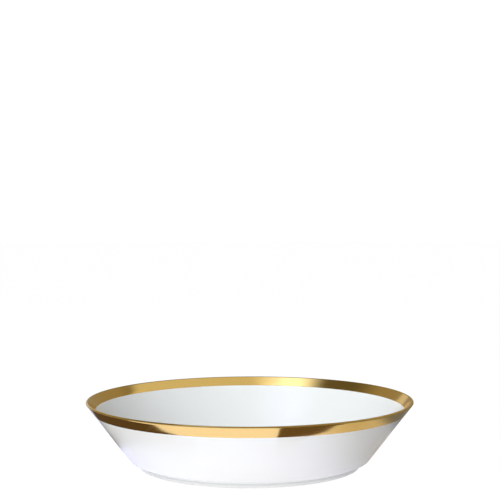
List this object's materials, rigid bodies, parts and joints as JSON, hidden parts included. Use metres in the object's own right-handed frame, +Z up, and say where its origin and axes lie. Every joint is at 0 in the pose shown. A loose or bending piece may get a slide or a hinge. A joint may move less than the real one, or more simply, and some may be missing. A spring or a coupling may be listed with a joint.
{
  "type": "serving bowl",
  "caption": "Round, shallow conical serving bowl in glazed white porcelain, with a burnished gold band over the lip and a low foot ring to stand on.",
  "frame": {"origin": "centre of the plane that the foot ring rests on", "axes": "+Z up along the bowl's axis of rotation; X and Y lie in the resting plane"},
  "size_m": [0.28, 0.28, 0.057],
  "materials": {
    "fired_clay": "bare, ground smooth",
    "white_glaze": "high gloss",
    "burnished_gold": "burnished, fine lines round the rim"
  },
  "bodies": {
    "root": {"bowl_body": "fired_clay", "foot_ring": "fired_clay", "glaze_coat": "white_glaze", "base_glaze": "white_glaze", "outer_gold_band": "burnished_gold", "lip_gold_edge": "burnished_gold", "inner_gold_band": "burnished_gold"}
  },
  "joints": []
}
